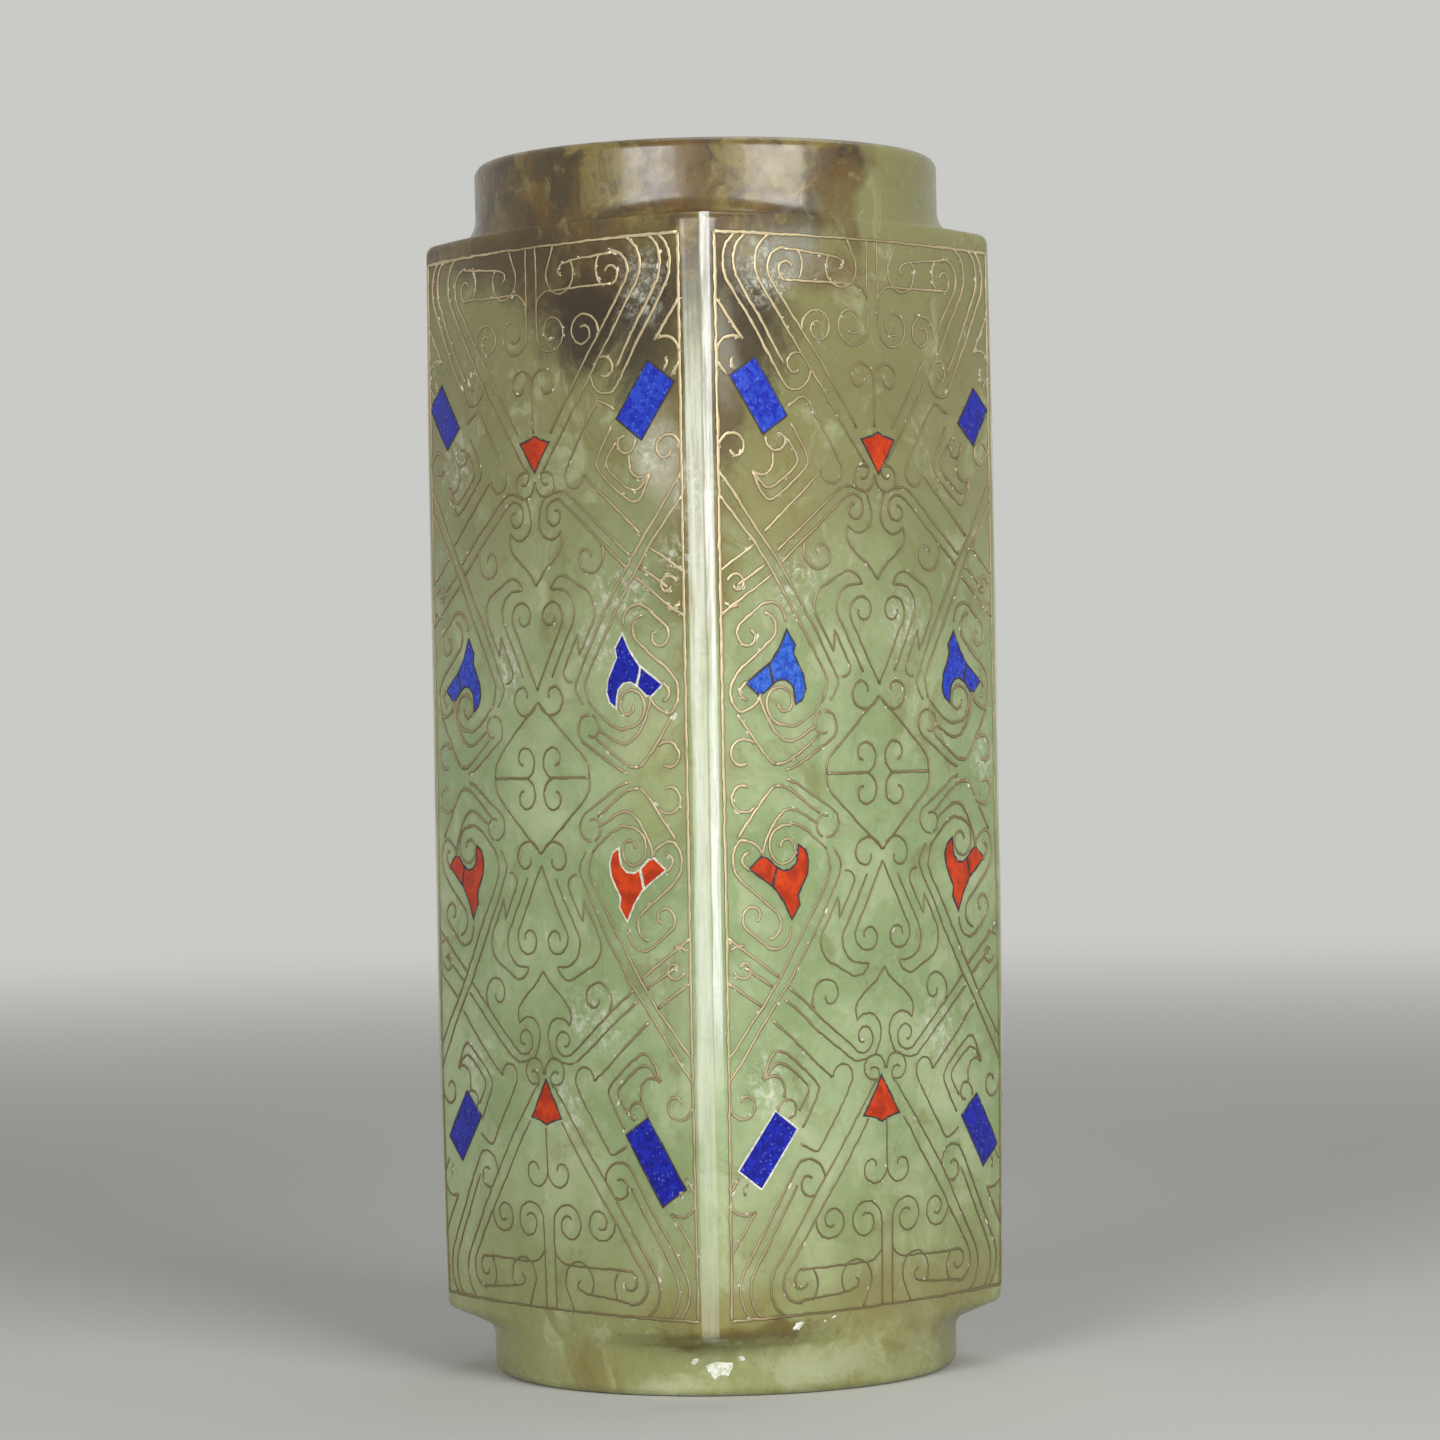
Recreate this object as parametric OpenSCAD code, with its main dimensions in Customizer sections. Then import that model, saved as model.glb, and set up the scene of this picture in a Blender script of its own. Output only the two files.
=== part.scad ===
// A square ritual tube of jade with a round bore, four crowned faces and a turned collar at each end.
// Gold wire and cut stones are let into the faces. Millimetres, +Z up, the foot's centre at the origin.

/* [Jade tube] */
// Overall height, foot to rim
height = 200; // [190:1:210]
// Distance across two opposite faces, measured at their crowns
across_flats = 77.8; // [76:0.2:80]
// Radius of the shallow crown ground across each face
face_r = 119; // [110:1:130]
// Distance from the axis to the rounded corner edges
corner_r = 47.45; // [46.8:0.05:47.8]
// Height at which the faces start to draw in towards the foot
waist_z = 66; // [50:1:80]
// Upright radius of the faces' draw towards the foot
belly_r = 2300; // [2000:50:3000]

/* [Collars and bore] */
// Height of the foot collar
foot_h = 7.8; // [7:0.1:9]
// Radius of the foot collar
foot_r = 38.4; // [37:0.1:38.6]
// Height of the rim collar
rim_h = 12.6; // [11.5:0.1:14]
// Radius of the rim collar
rim_r = 38.5; // [37:0.1:38.6]
// Radius of the through bore
bore_r = 28; // [25:0.5:31]
// Fall of the upper shoulders from the collar to the corners, in degrees
upper_fall = 1; // [0:1:6]
// Rise of the lower shoulders from the collar to the corners, in degrees
lower_rise = 14; // [8:1:16]
// Hollow radius where a collar meets a shoulder
cove_r = 2.2; // [1.5:0.1:3]
// Rounding of the collars' outer edges
lip_r = 1.8; // [1:0.1:2.5]
// Rounding of the collars' inner edges at the bore
mouth_r = 1.0; // [0.5:0.1:2]
// Rounding of the shoulders' outer ends
shoulder_r = 1.6; // [1:0.1:2.2]

/* [Stones] */
// Depth of the stones' pockets below the crown
stone_t = 1.6; // [1.2:0.1:2.2]
// Mastic gap between a stone and its pocket's wall
mastic = 0.18; // [0.1:0.01:0.25]
// Seam between the two stones of a fishtail
seam = 0.12; // [0.08:0.01:0.2]
// Size of a fishtail against its drawn outline
tail_scale = 1; // [0.95:0.01:1.02]
// Height of the gable at a shield's base
shield_gable = 1.1; // [0.8:0.1:1.4]

/* [Gold wire] */
// Width of the hammered wire
wire_w = 0.45; // [0.35:0.01:0.55]
// Depth of the wire's groove
wire_t = 0.4; // [0.3:0.05:0.6]
// Distance of the wire frame from a face's arrises and from its shoulders
frame_gap = 3.3; // [3:0.1:3.6]
// Turn of a curl between two bends of its wire, in degrees
curl_step = 45; // [30:5:60]

/* [Hidden] */
$fn = 64;
over = 1;
flange = 20;
arc_step = 15;
top_z = height - rim_h;
half_flats = across_flats / 2;
drum_x = half_flats - face_r;
// How far the corners draw in towards the foot, in so many straight steps
corner_draw = 1.35;
draw_steps = 3;
// Least cosine that a bend of wire is mitred by
least_mitre = 0.6;

// Where two crowns would meet in a sharp arris, across a face and round it
arris_y = (drum_x + sqrt(2 * face_r * face_r - drum_x * drum_x)) / 2;
arris_s = face_r * asin(arris_y / face_r) * PI / 180;
// The corners' shoulders
low_r = corner_r - corner_draw;
low_z = foot_h + (low_r - foot_r) * tan(lower_rise);
high_z = top_z - (corner_r - rim_r) * tan(upper_fall);
// The wire frame's half sizes, the height of its middle line, and its drawn size against them
frame_x = arris_s - frame_gap;
frame_y = (high_z - low_z) / 2 - frame_gap;
pattern_z = (high_z + low_z) / 2;
DRAWN = [31.1, 85.5];
fit_x = frame_x / DRAWN.x;
fit_y = frame_y / DRAWN.y;

SIDES = ["right", "back", "left", "front"];

// Each bar is [distance from the centre line, height over the middle line, lean, length, width].
// The right and left faces share one set of hand-cut stones, the front and back faces the other.
BARS_RIGHT = [[-23.5, 59.9, -33, 10.6, 5.3], [26.0, 58.2, 38, 7.4, 5.4],
              [-24.1, -59.0, 37, 11.2, 5.0], [24.5, -59.3, -36, 10.6, 5.4]];
BARS_FRONT = [[24.3, 59.5, 36, 10.7, 5.9], [-25.8, 59.7, -39, 9.1, 5.3],
              [23.6, -60.7, -32.5, 12.8, 5.1], [-23.4, -57.4, 40, 10.1, 5.7]];
// Each shield is [distance from the centre line, its tip's height over the middle line, width, length].
SHIELDS_RIGHT = [[0.7, 48.3, 6.9, 6.2], [-1.0, -48.9, 7.4, 6.9]];
SHIELDS_FRONT = [[0.2, 49.5, 6.5, 5.5], [0.2, -48.9, 6.8, 6.8]];

// Points along a curl of wire: centre, first and last radius, first angle and sweep in degrees
function curl(c, r0, r1, a0, sweep) =
    let (n = max(2, ceil(abs(sweep) / curl_step)))
    [for (i = [0 : n]) let (t = i / n, r = r0 + (r1 - r0) * t, a = a0 + sweep * t)
        c + r * [cos(a), sin(a)]];

// Points along a fine round between two angles, for turned profiles
function fillet(c, r, a0, a1) =
    let (n = ceil(abs(a1 - a0) / arc_step))
    [for (i = [0 : n]) let (a = a0 + (a1 - a0) * i / n) c + r * [cos(a), sin(a)]];

function unit(v) = v / norm(v);

// The way a path's left side faces at point i, lengthened at a bend so that the width holds
function left_of(p, i, closed = false) =
    let (n = len(p),
         a = i > 0 || closed ? unit(p[i] - p[(i + n - 1) % n]) : unit(p[1] - p[0]),
         b = i < n - 1 || closed ? unit(p[(i + 1) % n] - p[i]) : a,
         m = unit(a + b))
    [-m.y, m.x] / max(least_mitre, m * a);

// Closed outline of a wire of width w that follows the path p
function ribbon(p, w) =
    let (n = len(p))
    concat([for (i = [0 : n - 1]) p[i] + w / 2 * left_of(p, i)],
           [for (i = [n - 1 : -1 : 0]) p[i] - w / 2 * left_of(p, i)]);

// An anticlockwise outline grown by a gap on every side
function grown(p, gap) = [for (i = [0 : len(p) - 1]) p[i] - gap * left_of(p, i, true)];

// A distance measured round a face, laid flat across it
function flat_x(s) = face_r * sin(s / face_r * 180 / PI);
// A drawn path fitted to the frame and laid flat
function laid(p) = [for (q = p) [flat_x(q.x * fit_x), q.y * fit_y]];

// One quarter of a face's wire pattern: x from the centre line to the arris, y from the middle line out.
// The lattice is the long bands that tie the stones together.
LATTICE = [
    concat(curl([23.6, 80.8], 6, 6, 50, -75), [[19.6, 63.4]], curl([16.6, 64.2], 3.25, 3.2, -58, -122)),
    concat(curl([22.2, 81.0], 5.5, 5.5, 53, -88), [[18.7, 65.0]]),
    concat(curl([18.8, 80.9], 5.05, 5.05, 65, -100), [[13.4, 64.2], [2.3, 49.7]]),
    concat(curl([18.1, 80.2], 3.35, 3.35, 95, -133), [[3.9, 55.4]]),
    [[31.1, 75.2], [26.4, 68.7]],
    [[31.1, 65.3], [29.4, 63.0]],
    concat([[18.1, 58.3], [14.9, 60.2], [13.9, 58.9], [8.2, 50.7]], curl([9.4, 48.3], 2.2, 1.9, 130, 230)),
    [[17.6, 55.8], [14.3, 50.6], [14.3, 48.9], [20.9, 43.5], [23.0, 43.6], [25, 47.9]],
    [[18.4, 53.2], [16.2, 50.3], [16.6, 48.9], [20.9, 45.5], [22.8, 45.4], [24.9, 48]],
    [[31.1, 32.3], [24.8, 36.4]],
    [[23.0, 38.5], [11.5, 48.3]],
    [[28.0, 30.0], [22.8, 33.3]],
    [[20.7, 35.3], [8.0, 45.4], [6.2, 46.1], [2.4, 45.1]],
    [[31.1, 25.3], [21.5, 31.8]],
    concat([[19.9, 33.5], [8.6, 42.6]], curl([4.9, 42.2], 2.6, 0.7, 55, 400)),
    [[31.1, 48], [24, 38.4], [20, 33.2], [15.2, 26], [9.0, 15.4], [8.8, 14.0], [10.5, 11.7]],
    [[31.1, 44.2], [24.8, 36.8], [21.4, 31.9], [11.2, 15.9], [11.1, 14.4], [11.9, 12]],
    [[0, 12.3], [10.9, 3.1], [11.6, 1.6], [11.6, 0]]];
// The boldest of the scrolls that fill what the lattice leaves
SCROLLS = [
    concat([[1.2, 85.5]], curl([4.8, 71.7], 3.6, 1.1, 188, 480)),
    concat([[0, 55.5]], curl([3.1, 63.2], 3.1, 0.7, 180, -350)),
    concat([[1.2, 43]], curl([3.8, 41.4], 2.8, 3.0, 160, 163), [[6.2, 36.7], [1.9, 33.4], [0, 31.1]]),
    concat([[0, 14.2], [5.6, 24]], curl([3.4, 26], 2.9, 0.9, -32, 400)),
    concat([[11.4, 0]], curl([3.7, 3], 3.0, 0.9, 270, -345))];

// Stones' outlines, anticlockwise round their own seats
function bar_outline(len_, wid) =
    [[-wid / 2, -len_ / 2], [wid / 2, -len_ / 2], [wid / 2, len_ / 2], [-wid / 2, len_ / 2]];
function shield_outline(wid, len_) =
    [[0, 0], [wid / 2, len_ - shield_gable], [wid / 6, len_ - shield_gable / 2], [0, len_],
     [-wid / 6, len_ - shield_gable / 2], [-wid / 2, len_ - shield_gable]];
TAIL_SEAT = [20.5, 16.5];
TAIL_SEAM = [[0.8, -3.6], [2.7, 3.4]];
function tail_outline() = tail_scale * [for (p = concat(
    [[19.0, 22.6], [17.6, 20.5], [17.9, 19], [16.0, 15.6], [15.7, 13.6], [16.3, 12], [17.4, 11.3]],
    curl([20.1, 12.7], 2.6, 2.6, 185, -140),
    [[23.6, 13.1], [24.5, 12.9], [26.6, 14.6], [22.2, 17.6], [20.4, 19.9]])) p - TAIL_SEAT];

// How far the jade has drawn in at a height, below the waist line, against its draw at the foot
function drawn_in(z, foot_z) = pow((waist_z - z) / (waist_z - foot_z), 2);

// The wall that a grinding wheel leaves on one face, set in by a depth, and clear of both collars
module drum(inset = 0) {
    wall_z = foot_h - cove_r;
    wall_top = top_z + cove_r;
    foot_draw = pow(waist_z - wall_z, 2) / 2 / belly_r;
    translate([drum_x, 0, 0]) rotate_extrude($fn = 360) {
        polygon(concat([[0, wall_z]],
            [for (i = [0 : draw_steps]) let (z = wall_z + (waist_z - wall_z) * i / draw_steps)
                [face_r - inset - foot_draw * drawn_in(z, wall_z), z]],
            [[face_r - inset, wall_top], [0, wall_top]]));
        square([face_r + flange, wall_z]);
        translate([0, wall_top]) square([face_r + flange, height + over - wall_top]);
    }
}

// The profile that turning leaves: collars, coves, sloped shoulders and eased corners
function collar_profile(r, h, rise, lip) =
    concat([[0, 0]], fillet([r - lip, lip], lip, -90, 0),
           fillet([r + cove_r, h - cove_r / cos(rise) + cove_r * tan(rise)], cove_r, 180, 90 + rise));
function upside_down(p) = [for (i = [len(p) - 1 : -1 : 0]) [p[i].x, height - p[i].y]];

module turned() {
    high_end = height - high_z + shoulder_r;
    rotate_extrude() polygon(concat(
        collar_profile(foot_r, foot_h, lower_rise, lip_r),
        fillet([low_r - shoulder_r, low_z + shoulder_r], shoulder_r, lower_rise - 90, 0),
        [for (i = [1 : draw_steps])
            let (z0 = low_z + shoulder_r, z = z0 + (waist_z - z0) * i / draw_steps)
            [corner_r - corner_draw * drawn_in(z, z0), z]],
        upside_down(fillet([corner_r - shoulder_r, high_end], shoulder_r, upper_fall - 90, 0)),
        upside_down(collar_profile(rim_r, rim_h, upper_fall, lip_r))));
}

module on_side(side) {
    rotate([0, 0, 90 * search([side], SIDES)[0]]) children();
}

// A place on the right-hand face: x outwards from the crown, y along the face, z up
module on_crown(s, z) {
    translate([drum_x, 0, z]) rotate([0, 0, s / face_r * 180 / PI]) translate([face_r, 0, 0]) children();
}

// An outline drawn on the face's tangent plane, sunk to a depth and reaching out past the crown
module sunk(outline, depth) {
    rotate([90, 0, 90]) translate([0, 0, -depth]) linear_extrude(depth + over) polygon(outline);
}

function turned_outline(p, lean) =
    [for (q = p) [q.x * cos(lean) + q.y * sin(lean), q.y * cos(lean) - q.x * sin(lean)]];
function flipped(p, mx, my) =
    let (q = [for (v = p) [mx * v.x, my * v.y]])
    mx * my > 0 ? q : [for (i = [len(q) - 1 : -1 : 0]) q[i]];
function bars(side) = side == "right" || side == "left" ? BARS_RIGHT : BARS_FRONT;
function shields(side) = side == "right" || side == "left" ? SHIELDS_RIGHT : SHIELDS_FRONT;

module bar_cut(side, i, gap) {
    b = bars(side)[i];
    on_crown(b[0] * fit_x, pattern_z + b[1] * fit_y)
        sunk(turned_outline(grown(bar_outline(b[3], b[4]), gap), b[2]), stone_t);
}
// Shield 1 stands on its tip above the middle line, and shield 2 hangs from it below
module shield_cut(side, i, gap) {
    b = shields(side)[i];
    on_crown(b[0] * fit_x, pattern_z + b[1] * fit_y)
        sunk(flipped(grown(shield_outline(b[2], b[3]), gap), 1, i == 0 ? 1 : -1), stone_t);
}
// Fishtails 1 and 2 lie above the middle line, 3 and 4 below it
module tail_place(i, outline, depth) {
    mx = i % 2 == 0 ? -1 : 1;
    my = i < 2 ? 1 : -1;
    on_crown(mx * TAIL_SEAT.x * fit_x, pattern_z + my * TAIL_SEAT.y * fit_y)
        sunk(flipped(outline, mx, my), depth);
}
module tail_cut(i, gap) {
    tail_place(i, grown(tail_outline(), gap), stone_t);
}
module pockets(side) {
    for (i = [0 : 3]) bar_cut(side, i, mastic);
    for (i = [0 : 3]) tail_cut(i, mastic);
    for (i = [0 : 1]) shield_cut(side, i, mastic);
}

// The wires of one face, as long prisms from well inside the jade to well outside it
module prisms() {
    translate([drum_x / 2, 0, pattern_z]) rotate([90, 0, 90]) linear_extrude(half_flats + face_r) children();
}
module wire_prisms(paths) {
    prisms() for (mx = [-1, 1], my = [-1, 1], p = paths)
        polygon(ribbon(laid([for (q = p) [mx * q.x, my * q.y]]), wire_w));
}
module frame_prisms() {
    fx = flat_x(frame_x);
    prisms() difference() {
        square([2 * fx + wire_w, 2 * frame_y + wire_w], center = true);
        square([2 * fx - wire_w, 2 * frame_y - wire_w], center = true);
    }
}
module face_shell() {
    difference() {
        drum();
        drum(wire_t);
    }
}
// Wires let into a face, ending at the frame and at the stones' pockets
module laid_wires(side, paths) {
    color("burlywood") on_side(side) difference() {
        intersection() {
            wire_prisms(paths);
            face_shell();
        }
        pockets(side);
        frame_prisms();
    }
}

// The drilled bore, its mouths rounded over to the foot and the rim
module bore_mouth() {
    rotate_extrude($fn = 180) difference() {
        translate([bore_r - over, -over]) square([mouth_r + over, mouth_r + over]);
        translate([bore_r + mouth_r, mouth_r]) circle(r = mouth_r);
    }
}
module bore_cut() {
    translate([0, 0, -over]) cylinder(r = bore_r, h = height + 2 * over, $fn = 180);
    bore_mouth();
    translate([0, 0, height]) mirror([0, 0, 1]) bore_mouth();
}

module jade_body() {
    color("darkseagreen") difference() {
        intersection() {
            turned();
            drum();
            rotate([0, 0, 90]) drum();
            rotate([0, 0, 180]) drum();
            rotate([0, 0, 270]) drum();
        }
        bore_cut();
        for (side = SIDES) on_side(side) {
            pockets(side);
            difference() {
                union() {
                    frame_prisms();
                    wire_prisms(LATTICE);
                    wire_prisms(SCROLLS);
                }
                drum(wire_t);
            }
        }
    }
}
module lapis_bar(side, i) {
    color("royalblue") on_side(side) intersection() {
        bar_cut(side, i, 0);
        drum();
    }
}
module fishtail(side, i, paint) {
    color(paint) on_side(side) intersection() {
        difference() {
            tail_cut(i, 0);
            tail_place(i, ribbon(TAIL_SEAM, seam), stone_t + over);
        }
        drum();
    }
}
module coral_shield(side, i) {
    color("orangered") on_side(side) intersection() {
        shield_cut(side, i, 0);
        drum();
    }
}
module gold_frame(side) {
    color("burlywood") on_side(side) intersection() {
        frame_prisms();
        face_shell();
    }
}
module gold_lattice(side) {
    laid_wires(side, LATTICE);
}
module gold_scrolls(side) {
    laid_wires(side, SCROLLS);
}

jade_body();
for (s = SIDES, i = [1 : 4]) lapis_bar(s, i - 1);
for (s = SIDES, i = [1 : 2]) fishtail(s, i - 1, "royalblue");
for (s = SIDES, i = [1 : 2]) fishtail(s, i + 1, "orangered");
for (s = SIDES, i = [1 : 2]) coral_shield(s, i - 1);
for (s = SIDES) gold_frame(s);
for (s = SIDES) gold_lattice(s);
for (s = SIDES) gold_scrolls(s);
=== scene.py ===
"""A tall square jade cong, its four crowned faces inlaid with gold wire, lapis and coral.

Lengths are written in millimetres and turned to metres where a mesh, a lamp or the camera takes them.
Faces are numbered by quarter turns from the right-hand one: right 0, back 1, left 2, front 3.
The corner nearest the camera lies between the front and the right-hand face.
"""

import math
import random

import bmesh
import bpy
from mathutils import Matrix, Vector, noise
from mathutils.geometry import intersect_point_tri_2d


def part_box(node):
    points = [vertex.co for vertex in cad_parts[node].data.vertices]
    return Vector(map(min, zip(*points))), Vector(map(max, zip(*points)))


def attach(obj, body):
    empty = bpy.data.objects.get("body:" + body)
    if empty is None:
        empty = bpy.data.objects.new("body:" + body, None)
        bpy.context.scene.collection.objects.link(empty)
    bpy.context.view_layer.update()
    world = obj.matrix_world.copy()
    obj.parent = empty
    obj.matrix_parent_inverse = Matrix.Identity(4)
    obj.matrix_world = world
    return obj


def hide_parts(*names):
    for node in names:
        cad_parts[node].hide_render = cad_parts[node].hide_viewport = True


MM = 0.001
SIDES = ("right", "back", "left", "front")

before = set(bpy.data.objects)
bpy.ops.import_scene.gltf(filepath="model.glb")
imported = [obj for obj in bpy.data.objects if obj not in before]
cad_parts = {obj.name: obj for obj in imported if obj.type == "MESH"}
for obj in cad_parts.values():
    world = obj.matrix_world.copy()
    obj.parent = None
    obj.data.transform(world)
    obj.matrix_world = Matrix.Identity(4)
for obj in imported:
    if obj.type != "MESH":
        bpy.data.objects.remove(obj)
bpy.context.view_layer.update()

# The stone's sizes, those that the frame gives first
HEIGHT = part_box("jade_body")[1].z / MM
FRAME_LOW, FRAME_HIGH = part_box("gold_frame_right")
HALF_FLATS = FRAME_HIGH.x / MM
PATTERN_Z = (FRAME_LOW.z + FRAME_HIGH.z) / 2 / MM
WIRE_W = 0.45
FRAME_Y = (FRAME_HIGH.z - FRAME_LOW.z) / 2 / MM - WIRE_W / 2
FRAME_X = 31.1
FACE_R = 119.0
WAIST_Z = 66.0
BELLY_R = 2300.0
CORNER_R = 47.45
FOOT_H, FOOT_R = 7.8, 38.4
RIM_H, RIM_R = 12.6, 38.5
BORE_R = 28.0
UPPER_FALL, LOWER_RISE = math.radians(1), math.radians(14)
LOWER_COVE, UPPER_COVE = 2.6, 3.8
LIP_R = 1.8
MOUTH_R = 1.0
SHOULDER_R = 1.6

# How far the polished jade lies below the stones, a wire's crown rises and its edges sink in the face,
# then the steps round the tube and the height of a row
SKIN = 0.03
WIRE_RISE = 0.075
WIRE_SINK = 0.02
TURNS = 320
ROW = 2.5


def rounded(centre, radius, start, end, step=15):
    """Points of a turned round between two angles in degrees."""
    count = math.ceil(abs(end - start) / step)
    angles = [math.radians(start + (end - start) * i / count) for i in range(count + 1)]
    return [(centre[0] + radius * math.cos(a), centre[1] + radius * math.sin(a)) for a in angles]


def curl(centre, first, last, start, sweep, step=12):
    """Points along a curl of wire: its radius runs from first to last as it turns."""
    count = max(3, math.ceil(abs(sweep) / step))
    points = []
    for i in range(count + 1):
        share = i / count
        radius = first + (last - first) * share
        angle = math.radians(start + sweep * share)
        points.append((centre[0] + radius * math.cos(angle), centre[1] + radius * math.sin(angle)))
    return points


def smoothstep(low, high, value):
    """0 at low and before it, 1 at high and past it, with an even curve between."""
    share = min(1.0, max(0.0, (value - low) / (high - low)))
    return share * share * (3 - 2 * share)


def face_draw(z):
    """How far the faces have drawn in towards the foot at a height."""
    return max(0.0, WAIST_Z - z) ** 2 / 2 / BELLY_R


def on_face(side, s, z, lift=0.0):
    """A point of a face, in metres: s runs round its crown, and lift stands off it."""
    angle = s / FACE_R
    radius = FACE_R - face_draw(z) + lift
    across = HALF_FLATS - FACE_R + radius * math.cos(angle)
    point = Vector((across, radius * math.sin(angle), z))
    return Matrix.Rotation(side * math.pi / 2, 3, "Z") @ point * MM


# Materials

def srgb(code):
    """A colour's hex code as the linear values that a shader takes."""
    values = [int(code[i:i + 2], 16) / 255 for i in (0, 2, 4)]
    linear = [v / 12.92 if v <= 0.04045 else ((v + 0.055) / 1.055) ** 2.4 for v in values]
    return (*linear, 1.0)


def set_inputs(tree, node, inputs):
    """Sets a node's inputs, by name or number, each to a value, a node or a node's output."""
    for key, value in inputs.items():
        socket = node.inputs[key] if isinstance(key, int) else next(
            i for i in node.inputs if i.enabled and i.name == key)
        if isinstance(value, bpy.types.Node):
            value = next(o for o in value.outputs if o.enabled)
        if isinstance(value, bpy.types.NodeSocket):
            tree.links.new(value, socket)
        else:
            socket.default_value = value


def add_node(tree, kind, inputs, **settings):
    """Adds a shader node with its settings and its inputs' values and links."""
    made = tree.nodes.new("ShaderNode" + kind)
    for key, value in settings.items():
        setattr(made, key, value)
    set_inputs(tree, made, inputs)
    return made


def new_material(name):
    """A material's node tree, its Principled shader and its Object coordinates in millimetres."""
    material = bpy.data.materials.new(name)
    material.use_nodes = True
    tree = material.node_tree
    place = add_node(tree, "TexCoord", {}).outputs["Object"]
    in_mm = add_node(tree, "VectorMath", {0: place, 1: (1000.0, 1000.0, 1000.0)}, operation="MULTIPLY")
    return material, tree, tree.nodes["Principled BSDF"], in_mm


# Settings that many nodes share
SMOOTH = {"interpolation_type": "SMOOTHSTEP"}
TIMES = {"operation": "MULTIPLY"}
TIMES_PLUS = {"operation": "MULTIPLY_ADD"}
COLOURS = {"data_type": "RGBA"}

# Stains and veins in the jade, and one painted reflection: centre and half sizes in millimetres, share and
# colour
STAINS_AND_REFLECTION = [
    ((12, -38, 171), (10, 14, 9), 0.95, "2b1c07"),
    ((26, -35, 170), (8, 12, 15), 0.9, "2e1f08"),
    ((-4, -38, 183), (18, 14, 7), 0.8, "46330f"),
    ((31, -33, 146), (7, 8, 26), 0.65, "6f5f2c"),
    ((37, -24, 170), (14, 8, 10), 0.9, "36250a"),
    ((36, -30, 158), (8, 4, 13), 0.75, "523f19"),
    ((38, -12, 178), (12, 10, 4), 0.7, "67481e"),
    # A painted reflection, not a stain: the grey haze of a softbox at the right face's top by the near corner
    ((38, -19, 181), (12, 9, 6), 0.6, "a3a492"),
    ((38, -30, 166), (9, 3, 8), 0.4, "a5a496"),
    ((27, -36, 147), (5, 9, 9), 0.5, "cac6b2"),
    ((24, -38, 178), (4, 9, 5), 0.3, "8f8a74"),
    ((35, -35, 130), (8, 8, 17), 0.5, "7d6d2c"),
    ((38, -20, 142), (6, 9, 13), 0.4, "897a3e"),
    ((29, -36, 98), (12, 9, 14), 0.4, "a0a062"),
    ((33, -33, 14), (14, 12, 5), 0.55, "84752f"),
    ((31, -25, 10), (15, 15, 2.2), 0.8, "604c10"),
    ((38, 8, 13), (10, 22, 7), 0.5, "80713a"),
    ((9, -37, 3), (6, 8, 4), 0.45, "776629"),
    ((36, -13, 3.5), (7, 10, 3.5), 0.5, "b4b998"),
    ((20, -33, 2), (5, 6, 2.5), 0.5, "c4c8a2"),
    ((34, 20, 5), (9, 9, 6), 0.5, "70673b"),
]
# Where the graver and later blows have frosted the stone under its polish: centre and half sizes
FROSTS = [
    ((32, -35, 143), (4, 6, 6)), ((26, -36, 150), (5, 6, 5)), ((30, -35, 133), (5, 6, 4)),
    ((19, -37, 128), (7, 6, 5)), ((14, -38, 120), (6, 6, 5)), ((-8, -39, 117), (5, 6, 7)),
    ((-18, -38, 52), (6, 6, 5)), ((12, -38, 60), (7, 6, 6)), ((4, -39, 46), (6, 6, 5)),
    ((38, -17, 129), (6, 5, 7)), ((36, 27, 101), (6, 4, 5)), ((38, 13, 57), (6, 5, 6)),
    ((37, -24, 50), (6, 4, 6)), ((37, -22, 178), (6, 6, 6)), ((24, -37, 176), (5, 6, 7)),
    ((-22, -38, 150), (6, 6, 5)), ((38, 6, 123), (6, 5, 5)), ((-10, 39, 150), (8, 6, 7)),
    ((16, 39, 70), (7, 6, 6)), ((-39, 12, 160), (6, 7, 7)), ((-39, -14, 84), (6, 7, 6)),
]


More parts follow.
